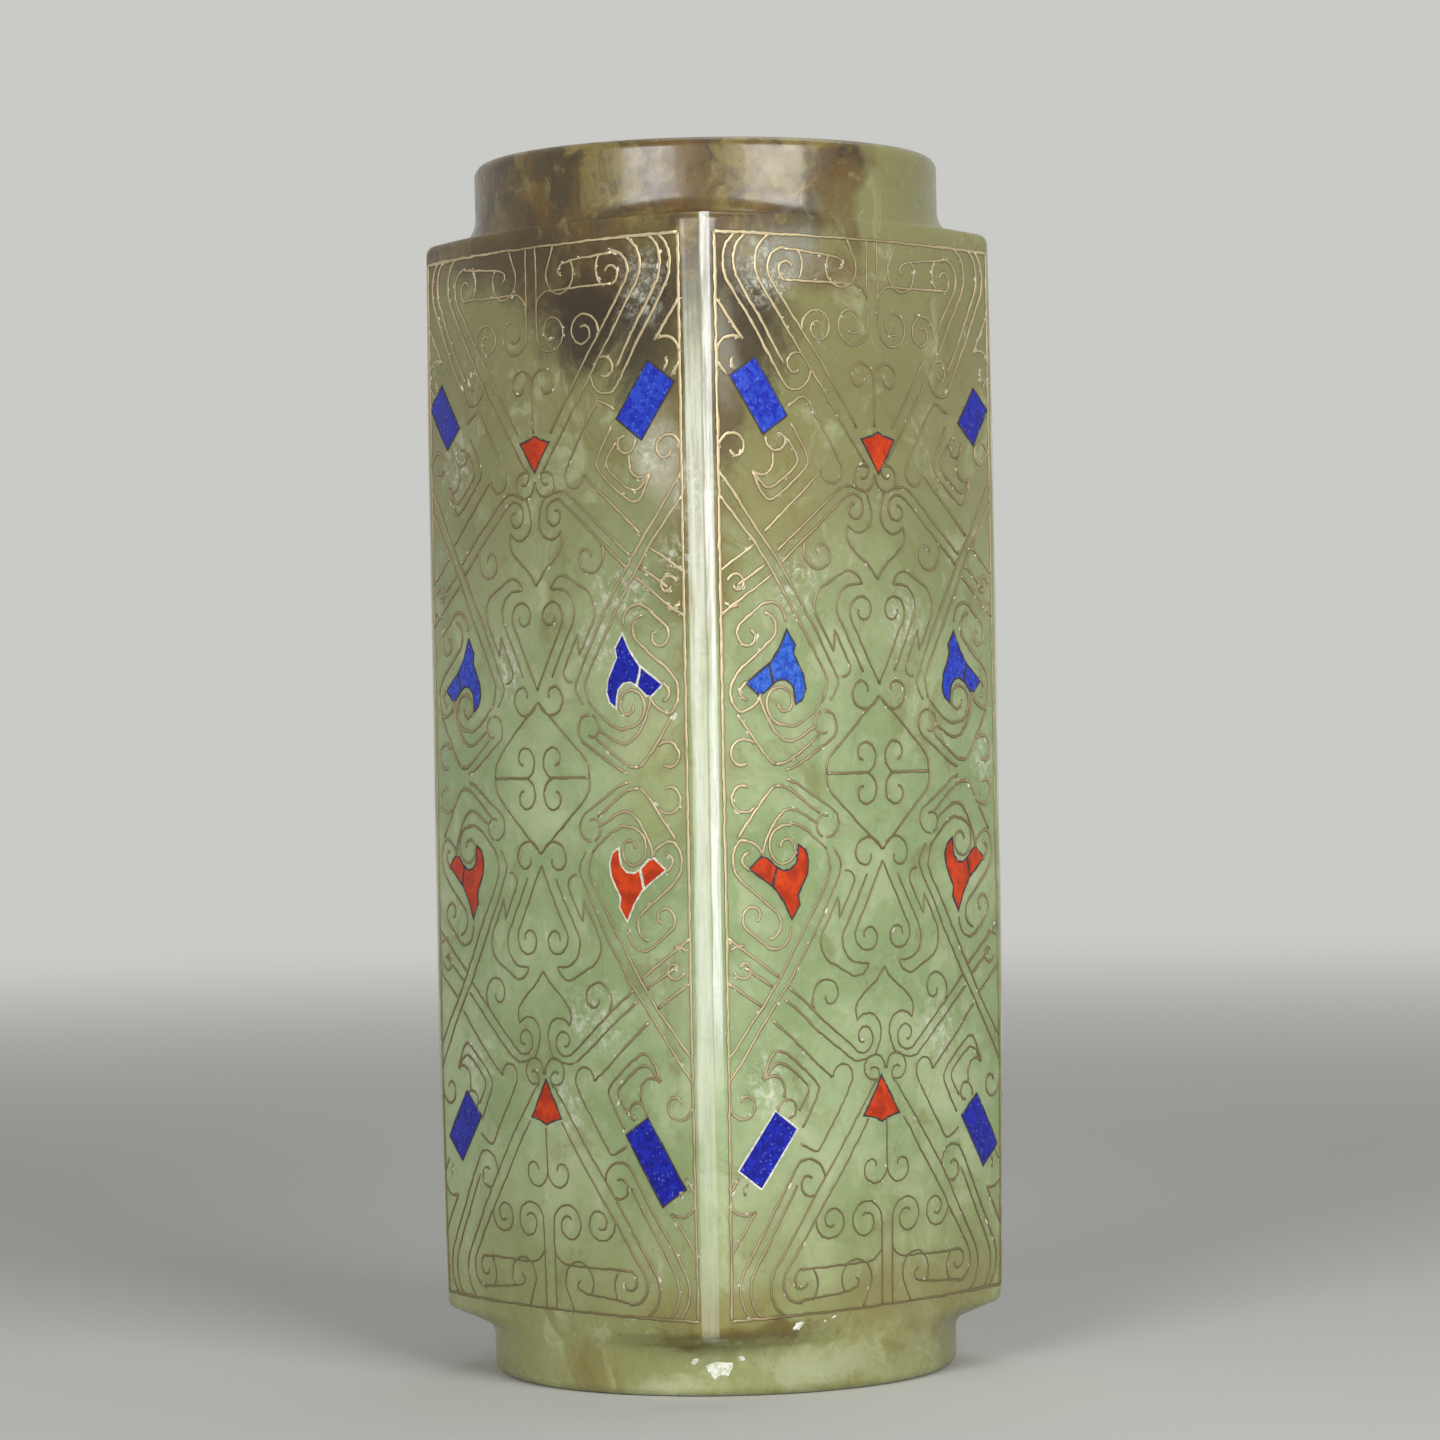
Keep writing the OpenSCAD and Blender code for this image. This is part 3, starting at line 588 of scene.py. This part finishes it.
SCROLLS = [
    curl((16.4, 64.9), 2.1, 1.0, 118, -245),
    curl((2.9, 48.2), 1.7, 0.9, 118, 180),
    curl((2.6, 47.3), 1.9, 2.4, 112, -300),
    [(18.3, 83.3), (6.8, 82.4), (6.3, 80.9), (7.3, 80.4)],
    [(18.1, 78.3), (4.6, 78.2)] + curl((4.4, 74.8), 3.4, 3.4, 90, 70),
    curl((18.4, 80.9), 3.6, 3.6, 138, 84),
    curl((17.8, 80), 1.85, 1.05, -80, 238),
    [(5.4, 85.3)] + curl((6.9, 80.7), 3.3, 3.0, 145, 255),
    [(1.2, 85.5)] + curl((4.8, 71.7), 3.6, 1.1, 188, 480),
    curl((11.8, 71), 3.3, 0.8, -10, 490),
    curl((28.3, 66.3), 2.85, 2.95, 10, 107),
    [(28.3, 65.9), (28.7, 64.9), (27.9, 64)],
    curl((20.2, 53), 2.15, 1.0, 15, -285),
    [(21.1, 51)] + curl((23.1, 49.7), 2.1, 2.45, 180, 136),
    curl((28.2, 51.6), 2.8, 0.8, 5, 330),
    [(0, 55.5), (0, 63.2)] + curl((3.1, 63.2), 3.1, 0.7, 180, -350),
    [(2.3, 45.1), (1.2, 43)] + curl((3.8, 41.4), 2.8, 3.0, 160, 163)
    + [(6.6, 38), (6.2, 36.7), (4.2, 34.9), (1.9, 33.4), (0, 31.1)],
    curl((28.1, 30.2), 1.8, 0.6, 15, 330),
    [(30.4, 27.3), (29, 26.5), (27.9, 26.8)],
    curl((12.1, 35.2), 3.5, 0.6, 35, -390),
    curl((6.2, 29.6), 2.8, 2.8, 163, -90) + curl((9.7, 26.6), 3.9, 3.7, 75, -105)
    + [(9.8, 19.6), (9.5, 23), (6.3, 17.2)] + curl((7.9, 17), 1.6, 1.6, 160, 120),
    [(3.5, 30.4)] + curl((5.2, 26.6), 3.7, 3.7, 85, -115) + [(3.5, 16.2)],
    [(0, 14.2), (5.6, 24)] + curl((3.4, 26), 2.9, 0.9, -32, 400),
    curl((3.6, 13.1), 3.4, 0.9, 195, 350),
    [(11.5, 0), (3.1, 0)] + curl((3.7, 3), 3.1, 0.9, 258, -330),
    [(19.1, 24.3)] + curl((22.2, 24.3), 3.0, 3.1, 180, -135) + curl((26.2, 22.2), 2.3, 0.8, 50, -290),
    curl((23.6, 23.3), 2.5, 2.5, 100, 140)
    + [(27.5, 17.2), (29.4, 15.2), (29.8, 13), (29.3, 11.3), (28.3, 10), (27, 10.2), (25, 11.2),
       (24.1, 12.8)],
    [(26.7, 15), (28.1, 13.6), (27.9, 12.5), (26.7, 11.9)],
    [(11.9, 11.9), (16, 8.6), (18.4, 7.5)] + curl((20.1, 11.4), 3.6, 0.8, 258, 460),
    [(24.4, 12.5), (23.8, 10.2), (21.9, 7.1), (20.4, 5.6), (18.5, 5.2), (16.5, 6.1), (13.5, 7.9)],
    curl((11.7, 7.8), 2.3, 2.4, 85, 150) + [(17.7, 1.3), (19.6, 0.7)],
    curl((12, 7.9), 2.2, 1.1, 75, -190),
    [(13.1, 6.3), (19.2, 1.9), (21.7, 1.7)],
    [(28.7, 9.8), (22.9, 2.2), (21.7, 1.7)],
    curl((27.6, 3.3), 2.6, 1.6, 140, -260)]

FRAME_WIRE_W = WIRE_W + 0.05
FRAME_SIDES = [[(-FRAME_X, -FRAME_Y), (FRAME_X, -FRAME_Y)], [(FRAME_X, -FRAME_Y), (FRAME_X, FRAME_Y)],
               [(FRAME_X, FRAME_Y), (-FRAME_X, FRAME_Y)], [(-FRAME_X, FRAME_Y), (-FRAME_X, -FRAME_Y)]]

# The free hand: how far a line wanders, over what length, its shake, and the share of a wire's width
WANDER = 0.22
WANDER_SIZE = 7.0
SHAKE = 0.045
THIN, THICK = 0.78, 1.2

# A stone's crown faces at least this much along its face's own direction
CROWN_FACING = 0.7


def stone_crown(node, side):
    """A bmesh of a stone's crown alone, and the way that it faces."""
    crown = bmesh.new()
    crown.from_mesh(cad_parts[node].data)
    bmesh.ops.remove_doubles(crown, verts=crown.verts, dist=0.005 * MM)
    outwards = Matrix.Rotation(side * math.pi / 2, 3, "Z") @ Vector((1, 0, 0))
    hidden = [f for f in crown.faces if f.normal.dot(outwards) < CROWN_FACING]
    bmesh.ops.delete(crown, geom=hidden, context="FACES")
    return crown, outwards


def stones_of(side):
    """The names of the stones' nodes on a face."""
    return [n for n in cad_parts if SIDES[side] in n.split("_") and not n.startswith("gold")]


def stone_triangles(side):
    """The triangles that a face's stones cover, each point as s round the crown and y from the middle."""
    triangles = []
    for node in stones_of(side):
        crown, _ = stone_crown(node, side)
        for face in crown.faces:
            corners = []
            for vertex in face.verts:
                x, y, z = Matrix.Rotation(-side * math.pi / 2, 3, "Z") @ vertex.co / MM
                corners.append(Vector((FACE_R * math.atan2(y, x - HALF_FLATS + FACE_R), z - PATTERN_Z)))
            triangles.append(corners)
        crown.free()
    return triangles


# Bends between these two turns are eased, and sharper ones are points
SLIGHT_TURN, SHARP_TURN = math.radians(16), math.radians(95)
EASED = 3.5


def eased(path):
    """The path with its bends, but not its sharp points, drawn as short curves."""
    path = [path[0]] + [end for start, end in zip(path, path[1:]) if math.dist(start, end) > 0.01]
    points = [path[0]]
    for corners in zip(path, path[1:], path[2:]):
        before, bend, after = (Vector(c) for c in corners)
        turn = (bend - before).angle(after - bend)
        if not SLIGHT_TURN < turn < SHARP_TURN:
            points.append(corners[1])
            continue
        first = bend.lerp(before, min(0.48, EASED / (bend - before).length))
        last = bend.lerp(after, min(0.48, EASED / (after - bend).length))
        for share in (0, 0.25, 0.5, 0.75, 1):
            points.append(tuple(first.lerp(bend, share).lerp(bend.lerp(last, share), share)))
    return points + [path[-1]]


def subdivided(path, longest=0.9):
    """The path with its straight runs cut short enough to bend round the crown."""
    points = [path[0]]
    for (ax, ay), (bx, by) in zip(path, path[1:]):
        count = max(1, math.ceil(math.hypot(bx - ax, by - ay) / longest))
        points += [(ax + (bx - ax) * i / count, ay + (by - ay) * i / count) for i in range(1, count + 1)]
    return points


def hand_drawn(point, side):
    """Moves a drawn point as a free hand would, a little differently on each face."""
    x, y = point
    inside = smoothstep(FRAME_X, FRAME_X - 2, abs(x)) * smoothstep(FRAME_Y, FRAME_Y - 2, abs(y))
    drift = noise.noise_vector(Vector((x / WANDER_SIZE, y / WANDER_SIZE, side * 7.3)))
    return x + inside * WANDER * drift.x, y + inside * WANDER * drift.y


def drawn_runs(paths, side):
    """The runs of wire that a face shows: eased, drawn by hand and ended at the stones."""
    triangles = stone_triangles(side)
    runs = []
    for path in paths:
        run = []
        for point in subdivided(eased(path)):
            place = hand_drawn(point, side)
            if any(intersect_point_tri_2d(place, *t) for t in triangles):
                runs.append(run)
                run = []
            else:
                run.append(place)
        runs.append(run)
    return [run for run in runs if len(run) > 1]


def wire_mesh(paths, side, width, seed):
    """Wires along flat paths, domed, then laid round a face's crown."""
    chance = random.Random(seed)
    curve = bpy.data.curves.new("wire_paths", "CURVE")
    curve.dimensions = "3D"
    curve.bevel_depth = width / 2 * MM
    curve.bevel_resolution = 1
    curve.use_fill_caps = True
    for points in drawn_runs(paths, side):
        spline = curve.splines.new("POLY")
        spline.points.add(len(points) - 1)
        for point, (x, y) in zip(spline.points, points):
            point.co = ((x + chance.gauss(0, SHAKE)) * MM, (y + chance.gauss(0, SHAKE)) * MM, 0, 1)
            bold = (0.9 + 0.45 * smoothstep(8, 26, abs(x))) * (0.78 + 0.22 * smoothstep(-60, 20, y))
            point.radius = chance.uniform(THIN, THICK) * bold
    holder = bpy.data.objects.new("wire_paths", curve)
    bpy.context.scene.collection.objects.link(holder)
    mesh = bpy.data.meshes.new_from_object(holder.evaluated_get(bpy.context.evaluated_depsgraph_get()))
    bpy.data.objects.remove(holder)
    bm = bmesh.new()
    bm.from_mesh(mesh)
    bpy.data.meshes.remove(mesh)
    bmesh.ops.remove_doubles(bm, verts=bm.verts, dist=0.002 * MM)
    layer = bm.verts.layers.float.new("rise")
    for vertex in bm.verts:
        s, y, height = vertex.co / MM
        share = height / (width / 2)
        vertex[layer] = max(0.0, share)
        vertex.co = on_face(side, s, PATTERN_Z + y, WIRE_RISE * share - WIRE_SINK)
    bmesh.ops.recalc_face_normals(bm, faces=bm.faces)
    return bm


def mirrored(paths):
    """The quarter's paths, drawn out to all four quarters of a face."""
    return [[(mx * x, my * y) for x, y in path] for mx in (1, -1) for my in (1, -1) for path in paths]


def make_wires(side):
    """The frame, lattice and scrolls of a face, in place of the frame's plain ones."""
    name = SIDES[side]
    frame_wire = piece_from(wire_mesh(FRAME_SIDES, side, FRAME_WIRE_W, side),
                            "hammered_frame_" + name, GOLD)
    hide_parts("gold_frame_" + name)
    lattice = piece_from(wire_mesh(mirrored(LATTICE), side, WIRE_W, 10 + side),
                         "hammered_lattice_" + name, GOLD)
    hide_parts("gold_lattice_" + name)
    scrolls = piece_from(wire_mesh(mirrored(SCROLLS), side, WIRE_W, 20 + side),
                         "hammered_scrolls_" + name, GOLD)
    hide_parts("gold_scrolls_" + name)


for number in range(4):
    make_wires(number)

# The stones

MASTIC_W = 0.3
MASTIC_DEPTH = 0.2
BRUISED_BEDS = ("lapis_fishtail_front_2", "coral_fishtail_front_2", "lapis_bar_right_3", "lapis_bar_left_2",
                "coral_fishtail_left_1", "lapis_fishtail_back_1")


def outward_shifts(bm, borders):
    """How each vertex of a sheet's borders moves as the borders grow by one unit of length."""
    sums = {}
    for edge in borders:
        loop = edge.link_loops[0]
        along = (loop.link_loop_next.vert.co - loop.vert.co).normalized()
        outward = along.cross(loop.face.normal)
        for vertex in edge.verts:
            sums.setdefault(vertex, []).append(outward)
    shifts = {}
    for vertex, ways in sums.items():
        middle = sum(ways, Vector()).normalized()
        shifts[vertex] = middle / max(0.5, middle.dot(ways[0]))
    return shifts


def bed_stone(bm, node, side):
    """Lays a bed's thin edge round a stone, worked out from the crown of the stone's own mesh."""
    chance = random.Random(node)
    stone, outwards = stone_crown(node, side)
    crown = list(stone.faces)
    borders = [e for e in stone.edges if e.is_boundary]
    shifts = outward_shifts(stone, borders)
    grown = bmesh.ops.extrude_edge_only(stone, edges=borders)["geom"]
    for vertex in (g for g in grown if isinstance(g, bmesh.types.BMVert)):
        origin = next(e.other_vert(vertex) for e in vertex.link_edges if e.other_vert(vertex) in shifts)
        vertex.co += shifts[origin] * MASTIC_W * chance.uniform(0.65, 1.25) * MM
    bmesh.ops.delete(stone, geom=crown, context="FACES")
    bmesh.ops.translate(stone, verts=stone.verts, vec=outwards * 0.02 * MM)
    bmesh.ops.recalc_face_normals(stone, faces=stone.faces)
    turned = [f for f in stone.faces if f.normal.dot(outwards) < 0]
    bmesh.ops.reverse_faces(stone, faces=turned)
    bmesh.ops.solidify(stone, geom=list(stone.faces), thickness=MASTIC_DEPTH * MM)
    mesh = bpy.data.meshes.new("bed")
    stone.to_mesh(mesh)
    stone.free()
    bm.from_mesh(mesh)
    bpy.data.meshes.remove(mesh)


# Which of the three blues each stone has, on the right and left faces and on the back and front
LAPIS_TONES = [{"bar": (1, 0, 0, 0), "fishtail": (2, 1)}, {"bar": (1, 0, 0, 0), "fishtail": (1, 0)}]


def dress_stones(side):
    """Gives a face's stones their finish, and a bed of sound mastic or of bruised jade round each."""
    name = SIDES[side]
    sound, bruised = bmesh.new(), bmesh.new()
    for node in stones_of(side):
        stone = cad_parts[node]
        stone.data.materials.clear()
        if node.startswith("lapis"):
            _, shape, _, number = node.split("_")
            tone = LAPIS_TONES[side % 2][shape][int(number) - 1]
            stone.data.materials.append(LAPIS[tone])
        else:
            stone.data.materials.append(CORAL)
        bed_stone(bruised if node in BRUISED_BEDS else sound, node, side)
    piece_from(sound, "mastic_beds_" + name, MASTIC, smooth=False)
    piece_from(bruised, "bruised_beds_" + name, BRUISE, smooth=False)


for number in range(4):
    dress_stones(number)

# Bruises

def on_foot(s, z, lift):
    """A point of the foot collar, in metres: s runs round it from the near corner."""
    angle = s / FOOT_R - math.pi / 4
    radius = FOOT_R + lift
    return Vector((radius * math.cos(angle), radius * math.sin(angle), z)) * MM


def lay_flake(bm, place, s, z, length, width, turn, chance, proud=0.05, sides=7):
    """One chip, its surface low and uneven, laid by a function that turns s, z and a lift to a point."""
    flake = bmesh.ops.create_circle(bm, cap_ends=True, segments=sides, radius=1.0)["verts"]
    face = next(f for f in flake[0].link_faces)
    top = bmesh.ops.poke(bm, faces=[face])["verts"]
    for vertex in flake + top:
        along = vertex.co.x * length / 2 * chance.uniform(0.55, 1.2)
        across = vertex.co.y * width / 2 * chance.uniform(0.55, 1.2)
        ds = along * math.cos(turn) - across * math.sin(turn)
        dz = along * math.sin(turn) + across * math.cos(turn)
        vertex.co = place(s + ds, z + dz, proud if vertex in top else -0.06)


CHIPS = 420
BESIDE_WIRE = 0.3
# Where blows have frosted the wires most: [side, round the face, height, reach]
DRIFTS = [(3, 27, 129, 9), (3, 31, 147, 5), (3, 14, 127, 7), (3, 2, 133, 6), (3, 22, 42, 9), (3, 8, 78, 7),
          (3, -12, 186, 8), (3, -24, 176, 7), (3, -22, 150, 6), (0, -12, 158, 8), (0, -14, 122, 7),
          (0, 24, 52, 9),
          (0, 26, 62, 6), (0, 6, 131, 6), (0, -20, 176, 8), (0, 4, 112, 5), (1, -20, 150, 9), (1, 18, 70, 8),
          (2, 22, 160, 9), (2, -16, 110, 8), (1, 6, 176, 7), (2, 8, 52, 7)]


def frosting(side, s, z):
    """How likely a chip is at a place: along the arrises, towards the rim and in the drifts."""
    likely = 0.05 + 0.2 * smoothstep(10, 30, abs(s)) + 0.2 * smoothstep(120, 185, z)
    for drift_side, drift_s, drift_z, reach in DRIFTS:
        if drift_side == side:
            likely += smoothstep(reach, 0, math.hypot(s - drift_s, z - drift_z))
    return likely


def bruise_face(side):
    """Chips struck off along the wires, where the graver or a later blow broke the groove's edge."""
    chance = random.Random(40 + side)
    runs = drawn_runs(mirrored(LATTICE + SCROLLS), side)
    bm = bmesh.new()
    laid = 0
    while laid < CHIPS:
        run = chance.choice(runs)
        i = chance.randrange(len(run) - 1)
        (ax, ay), (bx, by) = run[i], run[i + 1]
        if chance.random() > frosting(side, ax, PATTERN_Z + ay):
            continue
        turn = math.atan2(by - ay, bx - ax)
        beside = chance.choice((-BESIDE_WIRE, BESIDE_WIRE))
        s, z = ax - beside * math.sin(turn), PATTERN_Z + ay + beside * math.cos(turn)
        size = chance.uniform(0.3, 0.9) * (2 if chance.random() < 0.15 else 1)
        lay_flake(bm, lambda *at: on_face(side, *at), s, z, size, size * chance.uniform(0.25, 0.6),
                  turn + chance.gauss(0, 0.4), chance)
        laid += 1
    bmesh.ops.recalc_face_normals(bm, faces=bm.faces)
    piece_from(bm, "chips_" + SIDES[side], BRUISE)


# Blows at the near corner's foot: [side, or None for the collar, round it, height, length, width, turn]
FOOT_BLOWS = [(None, -0.2, 4.6, 7.4, 4.2, 0.1), (None, 3.6, 6.3, 1.8, 1.1, -0.5),
              (None, -3.6, 5.9, 2.0, 1.2, 0.8), (0, -18.6, 11.4, 2.7, 1.3, 0.35),
              (0, -11.5, 12.1, 1.3, 0.5, 0.2), (0, -13.4, 11.6, 0.8, 0.4, -0.3)]


def bruise_foot():
    """The larger blows at the near corner's foot."""
    chance = random.Random(7)
    bm = bmesh.new()
    for side, s, z, length, width, turn in FOOT_BLOWS:
        place = on_foot if side is None else lambda *at: on_face(0, *at)
        lay_flake(bm, place, s, z, length, width, turn, chance, proud=0.16, sides=13)
    bmesh.ops.recalc_face_normals(bm, faces=bm.faces)
    piece_from(bm, "chips_foot", BRUISE, smooth=False)


for number in range(4):
    bruise_face(number)
bruise_foot()

# The studio

CAMERA_TURN = math.radians(47.03)
CAMERA_AWAY = 753.2
CAMERA_Z = 106.96
CAMERA_ROLL = -0.018
LENS = 112.79
SHIFT = (5 / 1440, 2.6 / 1440)
AIM_Z = 100.0


def around(turn, away, z):
    """A place in the studio: turn degrees right of the camera, seen from the tube's axis."""
    angle = CAMERA_TURN + math.radians(turn)
    return Vector((math.sin(angle) * away, -math.cos(angle) * away, z)) * MM


def make_camera():
    """The camera that sees the tube as the photograph does."""
    camera = bpy.data.objects.new("camera", bpy.data.cameras.new("camera"))
    camera.data.lens = LENS
    camera.data.shift_x, camera.data.shift_y = SHIFT
    camera.matrix_world = (Matrix.Translation(around(0, CAMERA_AWAY, CAMERA_Z))
                           @ Matrix.Rotation(CAMERA_TURN, 4, "Z") @ Matrix.Rotation(math.pi / 2, 4, "X")
                           @ Matrix.Rotation(CAMERA_ROLL, 4, "Z"))
    bpy.context.scene.collection.objects.link(camera)
    bpy.context.scene.camera = camera


def make_lamp(name, place, width, height, watts):
    """A white softbox, aimed at the middle of the tube."""
    lamp = bpy.data.objects.new(name, bpy.data.lights.new(name, "AREA"))
    lamp.data.shape = "RECTANGLE"
    lamp.data.size, lamp.data.size_y = width * MM, height * MM
    lamp.data.energy = watts
    lamp.location = place
    way = Vector((0, 0, AIM_Z * MM)) - place
    lamp.rotation_euler = way.to_track_quat("-Z", "Y").to_euler()
    bpy.context.scene.collection.objects.link(lamp)


def background_rays(tree):
    """1 where a ray comes from the camera, a gloss or glass, which see the backdrop, else 0."""
    seen = 0.0
    rays = add_node(tree, "LightPath", {})
    for kind in ("Is Camera Ray", "Is Glossy Ray", "Is Transmission Ray"):
        seen = add_node(tree, "Math", {0: seen, 1: rays.outputs[kind]}, operation="MAXIMUM")
    return seen


BACKDROP = "cacac6"
FLOOR_R = 6000.0
# Between these distances the floor's own surface fades into the backdrop
NEAR_FLOOR, FAR_FLOOR = 300.0, 1500.0


def make_studio():
    """Two softboxes for the faces, two strips for the arris and collars, a pale floor and air."""
    make_lamp("right_softbox", around(34, 1100, 560), 620, 460, 9.2)
    make_lamp("left_softbox", around(-28, 1100, 520), 520, 440, 7.0)
    make_lamp("top_softbox", around(150, 500, 1400), 900, 900, 4)
    make_lamp("right_strip", around(22, 1300, 60), 150, 560, 2.6)
    make_lamp("left_strip", around(-13, 1300, 60), 150, 520, 1.0)
    bm = bmesh.new()
    bmesh.ops.create_circle(bm, cap_ends=True, segments=96, radius=FLOOR_R * MM)
    mesh = bpy.data.meshes.new("floor")
    bm.to_mesh(mesh)
    bm.free()
    material, tree, shader, place = new_material("pale_paper")
    set_inputs(tree, shader, {"Base Color": srgb("c9c9c5"), "Roughness": 0.9})
    mesh.materials.append(material)
    floor = bpy.data.objects.new("floor", mesh)
    bpy.context.scene.collection.objects.link(floor)
    away = add_node(tree, "VectorMath", {0: place}, operation="LENGTH").outputs["Value"]
    far = add_node(tree, "MapRange", {"Value": away, "From Min": NEAR_FLOOR, "From Max": FAR_FLOOR}, **SMOOTH)
    glow = add_node(tree, "Emission", {"Color": srgb(BACKDROP), "Strength": 1.0})
    share = add_node(tree, "Math", {0: far, 1: background_rays(tree)}, **TIMES)
    surface = add_node(tree, "MixShader", {0: share, 1: shader, 2: glow})
    set_inputs(tree, tree.nodes["Material Output"], {"Surface": surface})

    world = bpy.data.worlds.new("studio")
    bpy.context.scene.world = world
    world.use_nodes = True
    tree = world.node_tree
    air = add_node(tree, "Mix", {"Factor": background_rays(tree), "A": srgb("525252"), "B": srgb(BACKDROP)},
                   **COLOURS)
    set_inputs(tree, tree.nodes["Background"], {"Color": air})
    bpy.context.scene.view_settings.view_transform = "Standard"


make_camera()
make_studio()
